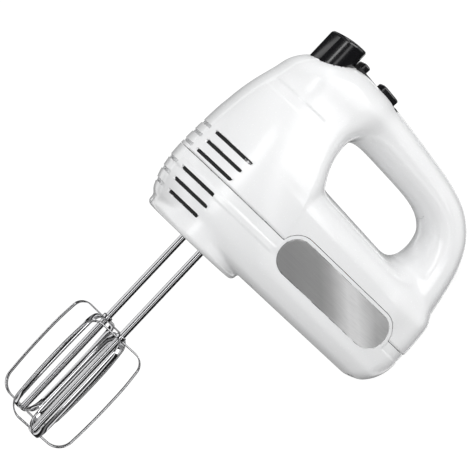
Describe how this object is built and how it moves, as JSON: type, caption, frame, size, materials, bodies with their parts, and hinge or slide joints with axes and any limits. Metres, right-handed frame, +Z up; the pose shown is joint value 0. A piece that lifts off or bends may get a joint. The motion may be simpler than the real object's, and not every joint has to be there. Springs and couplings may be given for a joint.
{
  "type": "hand mixer",
  "caption": "Electric hand mixer with a closed loop handle, speed slider, turbo and eject buttons, and wire beaters that pull out of geared spindles; it parks on its heel.",
  "frame": {"origin": "middle of the heel face that the mixer stands on when parked, at the height of the parting line", "axes": "+Z up from the heel to the nose, +X towards the handle and buttons, -X towards the beaters, +Y across towards the right flank"},
  "size_m": [0.3108, 0.0889, 0.1952],
  "materials": {
    "white_shell": "glossy moulded",
    "black_gloss": "high gloss",
    "black_satin": "satin moulded",
    "brushed_plate": "brushed along the flank",
    "chrome_beater": "polished",
    "zinc_steel": "zinc plated",
    "spring_steel": "drawn wire",
    "core_steel": "varnished laminations",
    "copper_winding": "enamelled wire",
    "sintered_bronze": "sintered",
    "carbon": "sintered carbon",
    "nylon": "moulded nylon",
    "inner_plastic": "moulded"
  },
  "bodies": {
    "motor_unit": {"upper_housing": "white_shell", "lower_housing": "white_shell", "handle_cover": "white_shell", "side_plate_left": "brushed_plate", "side_plate_right": "brushed_plate", "eject_spring": "spring_steel", "turbo_spring": "spring_steel", "switch_bezel": "black_satin", "speed_switch": "inner_plastic", "turbo_switch": "inner_plastic", "cord_gland": "black_satin", "cord_clamp": "inner_plastic", "terminal_block": "nylon", "housing_screws": "zinc_steel", "bracket_screws": "zinc_steel", "stator_core": "core_steel", "field_coils": "copper_winding", "front_bearing": "sintered_bronze", "rear_bearing": "sintered_bronze", "lower_bushes": "sintered_bronze", "upper_bushes": "sintered_bronze", "rear_bracket": "inner_plastic", "gear_bracket": "zinc_steel", "carbon_brushes": "carbon", "brush_holders": "sintered_bronze"},
    "rotor": {"motor_shaft": "zinc_steel", "worm": "zinc_steel", "rotor_core": "core_steel", "rotor_windings": "copper_winding", "commutator": "copper_winding", "cooling_fan": "nylon"},
    "ejector": {"eject_button": "black_gloss", "eject_fork": "nylon"},
    "turbo": {"turbo_button": "black_gloss"},
    "slider": {"speed_slider": "black_gloss"},
    "left_drive": {"left_spindle": "zinc_steel", "left_gear": "nylon"},
    "left_pin": {"left_push_pin": "zinc_steel"},
    "left_beater": {"left_beater_shaft": "chrome_beater", "left_beater_blades": "chrome_beater", "left_beater_caps": "chrome_beater"},
    "right_drive": {"right_spindle": "zinc_steel", "right_gear": "nylon"},
    "right_pin": {"right_push_pin": "zinc_steel"},
    "right_beater": {"right_beater_shaft": "chrome_beater", "right_beater_blades": "chrome_beater", "right_beater_caps": "chrome_beater"}
  },
  "joints": [
    {"name": "motor_spin", "type": "hinge", "parent": "motor_unit", "child": "rotor", "pos_m": [0.006, 0, 0.1457], "axis": [0, 0, 1], "continuous": true},
    {"name": "left_spindle_spin", "type": "hinge", "parent": "motor_unit", "child": "left_drive", "pos_m": [0.006, -0.022, 0.1457], "axis": [1, 0, 0], "continuous": true},
    {"name": "left_pin_slide", "type": "slide", "parent": "left_drive", "child": "left_pin", "axis": [-1, 0, 0], "range_m": [0, 0.006]},
    {"name": "left_beater_pull", "type": "slide", "parent": "left_pin", "child": "left_beater", "axis": [-1, 0, 0], "range_m": [0, 0.045]},
    {"name": "right_spindle_spin", "type": "hinge", "parent": "motor_unit", "child": "right_drive", "pos_m": [0.006, 0.022, 0.1457], "axis": [1, 0, 0], "continuous": true},
    {"name": "right_pin_slide", "type": "slide", "parent": "right_drive", "child": "right_pin", "axis": [-1, 0, 0], "range_m": [0, 0.006]},
    {"name": "right_beater_pull", "type": "slide", "parent": "right_pin", "child": "right_beater", "axis": [-1, 0, 0], "range_m": [0, 0.045]},
    {"name": "eject_press", "type": "slide", "parent": "motor_unit", "child": "ejector", "axis": [-1, 0, 0], "range_m": [0, 0.006], "stiffness_N_per_m": 900, "springref_m": -0.003, "deforming": ["eject_spring"]},
    {"name": "turbo_press", "type": "slide", "parent": "motor_unit", "child": "turbo", "axis": [-0.9971, 0, 0.0767], "range_m": [0, 0.0025], "stiffness_N_per_m": 500, "springref_m": -0.001, "deforming": ["turbo_spring"]},
    {"name": "speed_slide", "type": "slide", "parent": "motor_unit", "child": "slider", "axis": [0.0767, 0, 0.9971], "range_m": [0, 0.011]}
  ],
  "couplings": [
    {"joint": "left_spindle_spin", "follows": "motor_spin", "ratio": 0.071429},
    {"joint": "right_spindle_spin", "follows": "motor_spin", "ratio": -0.071429},
    {"joint": "left_pin_slide", "follows": "eject_press", "ratio": 1},
    {"joint": "right_pin_slide", "follows": "eject_press", "ratio": 1}
  ]
}
